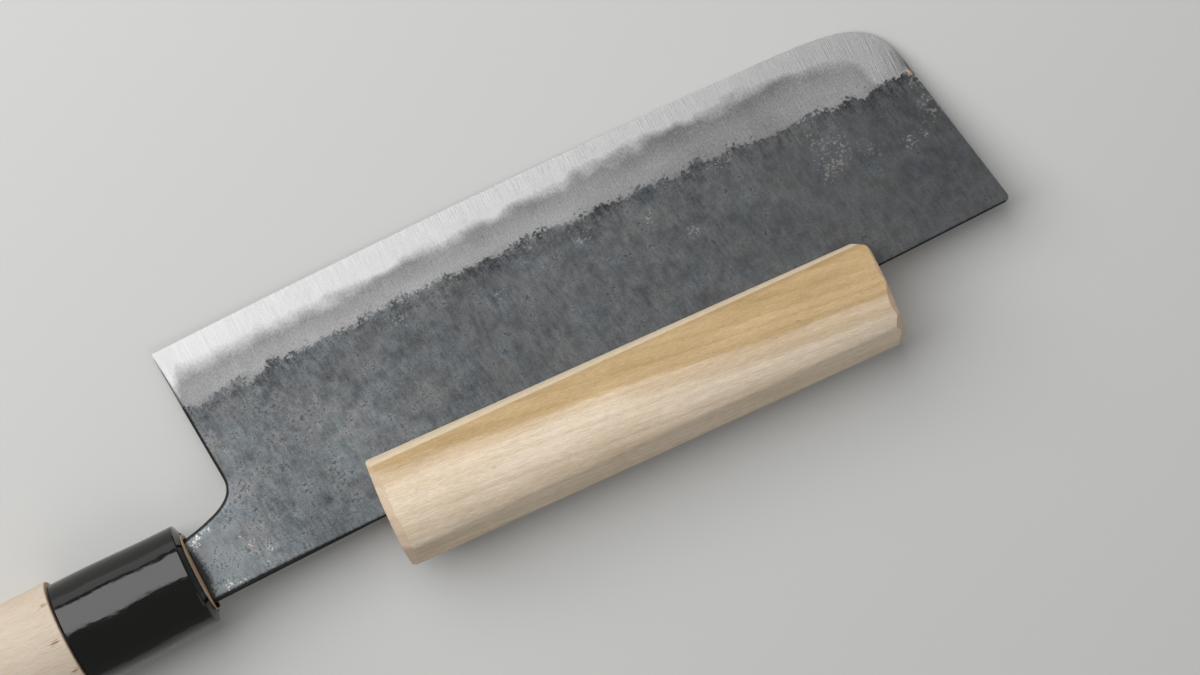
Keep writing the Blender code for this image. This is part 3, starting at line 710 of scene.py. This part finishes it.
        # Driving the ferrule on has torn a few fibres loose at the shoulder
        narrowed = np.array([0.7, 2.0, 0.6])
        for spot in ((-51.3, -10.0, 10.6), (-52.2, -0.6, 13.3), (-51.2, 7.9, 11.9)):
            centred = {"Scale": narrowed, "Location": -narrowed * spot}
            away = add(tree, "ShaderNodeMapping", centred, {"Vector": place})
            away = add(tree, "ShaderNodeVectorMath", {"operation": "LENGTH"}, {0: away})
            ragged = {0: grain["fibre"], 2: away.outputs["Value"]}
            ragged = add(tree, "ShaderNodeMath", {"operation": "MULTIPLY_ADD", 1: 1.6}, ragged)
            stains.append((ragged, {"From Min": 0.8, "From Max": 0.4, "To Max": 0.85}, "#8C673C"))
    for source, start, stain in stains:
        share = add(tree, "ShaderNodeMapRange", start, {"Value": source})
        colour = add(tree, "ShaderNodeMix", {"data_type": "RGBA", 7: linear(stain)}, {0: share, 6: colour})
    bump = add(tree, "ShaderNodeBump", {"Strength": 1.0, "Distance": 0.00002}, {"Height": grain["fibre"]})
    feed(tree, shader, Base_Color=colour, Normal=bump)
    return made


make_piece(
    "handle", handle_points, [quads(handle_ids), handle_ids[:1, :-1], handle_ids[-1:, :-1]],
    wood_finish("sanded_white_magnolia_with_burnt_mouth", ("#C0AE96", "#D2C4B4"), 0.6, True), "handle_wood",
    stick_mm=handle_points - (0, handle_axis, 0), marks_mm=handle_marks,
)

# The spine grip

# A second oval stick of the same wood, sawn along its length and driven on to the spine, a little askew, so
# that the other hand can press down on it. Its ends are whittled with a knife, and facets are planed beside
# the slot and on the palm's side.

grip_start, grip_length, grip_bite = 36.2, 137.4, 15.0
grip_half_height, grip_half_thickness = (14.7, 14.15), 13.09  # the first at either end
grip_turn = math.radians(2.6)
slot_clearance = 0.3
# Facets planed off the oval: (which way from the palm's side, how deep)
facets = [(sign * math.radians(turn), depth) for turn, depth in ((132, 0.35), (30, 0.75)) for sign in (1, -1)]
small_cut, deepest_cut = 0.45, 4
hand_dent, hand_waves, hand_seed, grip_reach_mean = 0.05, (12, 50), 31, 14
section_points, cap_rows, cap_crowding, stations = 121, 26, 1.6, 150
# Shares of the slot's section: each wall, half of the floor, and the part of a wall that bends to the lips
wall_share, floor_share, lip_share = 0.45, 0.05, 0.25


def in_knife(s, q, z):
    """A place in the grip, along it, up it from its middle and out of it, as a place in the knife's frame:
    turned askew and moved on to the spine."""
    up = q + grip_half_height[0]
    x = grip_start + s * math.cos(grip_turn) - up * math.sin(grip_turn)
    return points_of(x, blade_height - grip_bite + s * math.sin(grip_turn) + up * math.cos(grip_turn), z)


def grip_reach(turn, half_height):
    """The oval's reach, cut back by the planed facets: the least of the oval and of each facet's plane, up to
    60 degrees from where that faces."""
    reach = oval_radius(turn, half_height, grip_half_thickness, oval_power)
    for facing, depth in facets:
        off = np.cos(turn - facing)
        plane = oval_radius(np.array(facing), half_height, grip_half_thickness, oval_power) - depth
        reach = np.where(off > 0.5, np.minimum(reach, plane / np.clip(off, 0.5, 1)), reach)
    return reach


def cut_back(q, z, cuts, half_height):
    """How far each knife cut takes an end face back at a place in the section: a plane that starts inwards
    of the rim and slopes to it. The deepest cut counts."""
    back = np.zeros(np.shape(q))
    for facing, inwards, lengthwise in cuts:
        beyond = q * math.cos(facing) + z * math.sin(facing)
        rim_at = grip_reach(np.array(facing), half_height) - inwards
        back = np.maximum(back, (beyond - rim_at) * lengthwise / inwards)
    return np.clip(back, 0, deepest_cut)


# Knife cuts round each end: (which way the cut faces, how far it takes in from the rim, how far along)
draw = np.random.default_rng(21)
tip_sizes, back_sizes = 4 * [1] + 7 * [small_cut] + 3 * [1], 7 * [1] + 3 * [small_cut] + 7 * [1]
tip_cuts = [
    (turn + draw.uniform(-0.1, 0.1), draw.uniform(0.8, 1.2) * size, draw.uniform(0.9, 1.5) * size)
    for turn, size in zip(np.linspace(0, 2 * math.pi, len(tip_sizes), endpoint=False), tip_sizes)
]
tip_cuts += [
    (math.pi, 2.2, 3.6), (math.pi, 3.0, 1.6), (0.0, 2.6, 0.9), (0.0, 1.7, 1.6), (0.0, 0.8, 2.5),
    (0.35, 1.3, 2.2), (-0.35, 1.3, 2.2), (0.8, 1.2, 2.0), (-0.8, 1.2, 2.0),
]
back_cuts = [
    (turn, draw.uniform(1.25, 1.35) * size, draw.uniform(2.3, 2.5) * size)
    for turn, size in zip(np.linspace(-2.2, 2.2, len(back_sizes)), back_sizes)
]
back_cuts.append((math.pi, 0.5, 0.6))

station = np.linspace(0, 1, stations)[:, None]
even_s = station * grip_length
half_height = grip_half_height[0] + (grip_half_height[1] - grip_half_height[0]) * station
slot_half = flat_half(grip_start + even_s, blade_height - grip_bite) + slot_clearance
# The slot's lips are where the reach is as wide as the slot, which a few rounds find
lip_turn = math.pi - slot_half / half_height
for _ in range(4):
    lip_turn = math.pi - np.arcsin(slot_half / grip_reach(lip_turn, half_height))
turn = lip_turn * np.linspace(1, -1, section_points)
reach = grip_reach(turn, half_height)
outer_q, outer_z = reach * np.cos(turn), reach * np.sin(turn)
# The hand-made unevenness dies away towards the slot and the middle of the palm's side
hand = hand_dent * waves(even_s + 0 * turn, turn * grip_reach_mean, *hand_waves, hand_seed)
hand *= np.clip(np.abs(outer_z) / 3 - 0.9, 0, 1)
outer_q, outer_z = outer_q * (1 + hand / grip_reach_mean), outer_z * (1 + hand / grip_reach_mean)
# The slot goes up one wall, across its floor, which follows the spine, and down the other wall
floor_q = (grip_bite + slot_clearance - even_s * math.sin(grip_turn)) / math.cos(grip_turn)
floor_q -= grip_half_height[0]
share = np.linspace(0, 1, section_points)
up_wall = np.clip(np.minimum(share, 1 - share) / wall_share, 0, 1)
inner_q = outer_q[:, :1] + (floor_q - outer_q[:, :1]) * up_wall
inner_z = slot_half * np.clip((0.5 - share) / floor_share, -1, 1)
# The end cuts shorten the outside, and the slot's walls bend to follow it near the lips
back_end, tip_end = (
    cut_back(outer_q[[end]], outer_z[[end]], cuts, half_height[end])
    for end, cuts in ((0, back_cuts), (-1, tip_cuts))
)
outer_s = back_end + station * (grip_length - back_end - tip_end)
lip_s = outer_s[:, [0]] + (outer_s[:, [-1]] - outer_s[:, [0]]) * share
inner_s = np.where(up_wall < lip_share, lip_s + (even_s - lip_s) * up_wall / lip_share, even_s)
outer_side, inner_side = in_knife(outer_s, outer_q, outer_z), in_knife(inner_s, inner_q, inner_z)
# The slot's walls follow the blade's own taper
wall_half = flat_half(inner_side[..., 0], inner_side[..., 1]) + slot_clearance
inner_side[..., 2] = np.sign(inner_z) * np.minimum(np.abs(inner_z), wall_half)
inner_side[:, [0, -1]] = outer_side[:, [0, -1]]
blocks = [outer_side, inner_side]
stick_blocks = [points_of(outer_s, outer_q, outer_z), points_of(inner_s, inner_q, inner_z)]
# Each end face spans from the outside to the slot, with its rows crowded at the whittled rim
inwards = np.linspace(0, 1, cap_rows)[:, None] ** cap_crowding
for end, cuts, base, way in ((0, back_cuts, 0.0, 1), (-1, tip_cuts, grip_length, -1)):
    q = outer_q[end] + (inner_q[end] - outer_q[end]) * inwards
    z = outer_z[end] + (inner_z[end] - outer_z[end]) * inwards
    s = base + way * cut_back(q, z, cuts, half_height[end])
    cap = in_knife(s, q, z)
    cap[0], cap[-1] = outer_side[end], inner_side[end]
    blocks.append(cap)
    stick_blocks.append(points_of(s, q, z))
starts = np.cumsum([0] + [block[..., 0].size for block in blocks])
grip_faces = [quads(numbered(block, start)) for block, start in zip(blocks, starts)]
grip_points, stick_places = (
    np.vstack([block.reshape(-1, 3) for block in kept]) for kept in (blocks, stick_blocks)
)
# How far each point is into the tan heart, whose border climbs towards the tip's end with one bulge, and
# into a light strip of sapwood beside the slot
stick_s, stick_q, _ = stick_places.T
in_heart = -10.9 + 0.079 * stick_s + 0.0001 * stick_s**2 - stick_q
in_heart += 1.3 * np.exp(-(((stick_s - 95) / 28) ** 2))
in_strip = -12.7 - 0.0035 * stick_s - stick_q
make_piece(
    "spine_grip", grip_points, grip_faces,
    wood_finish("planed_white_magnolia", ("#D2BC9E", "#ECDBC5"), 1.0, False), "grip_wood", sharp_above=28,
    stick_mm=stick_places, marks_mm=np.column_stack([in_heart, np.full_like(in_heart, far), in_strip]),
)

# The table, the light and the camera

# A plain pale table, a soft lamp from the side of the cutting edge, weaker ones low down and opposite, and
# an even room.

table_half = 3.0  # m
table_corners = table_half * np.array([(-1, -1, 0), (1, -1, 0), (1, 1, 0), (-1, 1, 0)])
floor_data = bpy.data.meshes.new("table")
floor_data.from_pydata(table_corners.tolist(), [], [(0, 1, 2, 3)])
floor = put("table", floor_data)
# Board with matt paint: pale, even and almost without gloss
floor_finish, tree, shader = new_finish("painted_board", 0.0, 0.8)
shader.inputs["Base Color"].default_value = linear("#D6D6D4")
shader.inputs["Specular IOR Level"].default_value = 0.2
floor_data.materials.append(floor_finish)

# The room lights weakly, and the camera and reflections see it as mid grey
world = bpy.data.worlds.new("room")
bpy.context.scene.world = world
world.use_nodes = True
tree = world.node_tree
room = tree.nodes["Background"]
room.inputs["Color"].default_value = linear("#F2F2F2")
room.inputs["Strength"].default_value = 0.22
seen = add(tree, "ShaderNodeBackground", {"Color": linear("#8A8A88"), "Strength": 1.0})
path = add(tree, "ShaderNodeLightPath")
straight = path.outputs["Is Camera Ray"]
for ray in ("Is Glossy Ray", "Is Transmission Ray"):
    straight = add(tree, "ShaderNodeMath", {"operation": "MAXIMUM"}, {0: straight, 1: path.outputs[ray]})
mixed = add(tree, "ShaderNodeMixShader", links={0: straight, 1: room, 2: seen})
tree.links.new(mixed.outputs[0], tree.nodes["World Output"].inputs["Surface"])

# The camera looks square at the left face: (x, height, z) that it looks at, its roll and its distance in m
camera_over, camera_roll, camera_distance = (103.0, 47.4, 2.0), math.radians(26.9), 0.8816
picture_width, lens_pixels, sensor = 1200, 3500, 36.0
target = heel + np.array(camera_over) * MM @ knife_axes
knife_x, knife_y, knife_z = knife_axes[0], -knife_axes[1], knife_axes[2]
view_right = math.cos(camera_roll) * knife_x - math.sin(camera_roll) * knife_y
view_up = math.sin(camera_roll) * knife_x + math.cos(camera_roll) * knife_y


def facing(right, up, back, position):
    """A placing matrix from three axes, as columns, and a position."""
    return Matrix([*np.column_stack([right, up, back, position]).tolist(), (0, 0, 0, 1)])


camera_data = bpy.data.cameras.new("camera")
camera_data.sensor_width = sensor
camera_data.lens = sensor * lens_pixels / picture_width
camera = put("camera", camera_data)
camera.matrix_world = facing(view_right, view_up, knife_z, target + camera_distance * knife_z)
bpy.context.scene.camera = camera

# Lamps: (name, place in m from the target along the knife, towards the edge and up, width, height, watts)
for name, offset, width, tall, watts in (
    ("soft_box", (-0.36, 0.47, 0.883), 1.2, 0.9, 11.8),
    ("low_panel", (0.0, 0.966, 0.27), 1.2, 0.55, 2.2),
    ("fill_box", (0.3, -0.9, 0.9), 0.7, 0.7, 1.2),
):
    lamp_data = bpy.data.lights.new(name, "AREA")
    lamp_data.shape, lamp_data.size, lamp_data.size_y, lamp_data.energy = "RECTANGLE", width, tall, watts
    lamp = put(name, lamp_data)
    lamp.visible_camera = False
    back = np.array(offset) @ np.array([knife_x, knife_y, knife_z])
    position, back = target + back, back / np.linalg.norm(back)
    right = np.cross(knife_y, back)
    right /= np.linalg.norm(right)
    lamp.matrix_world = facing(right, np.cross(back, right), back, position)

bpy.context.scene.view_settings.view_transform = "Standard"
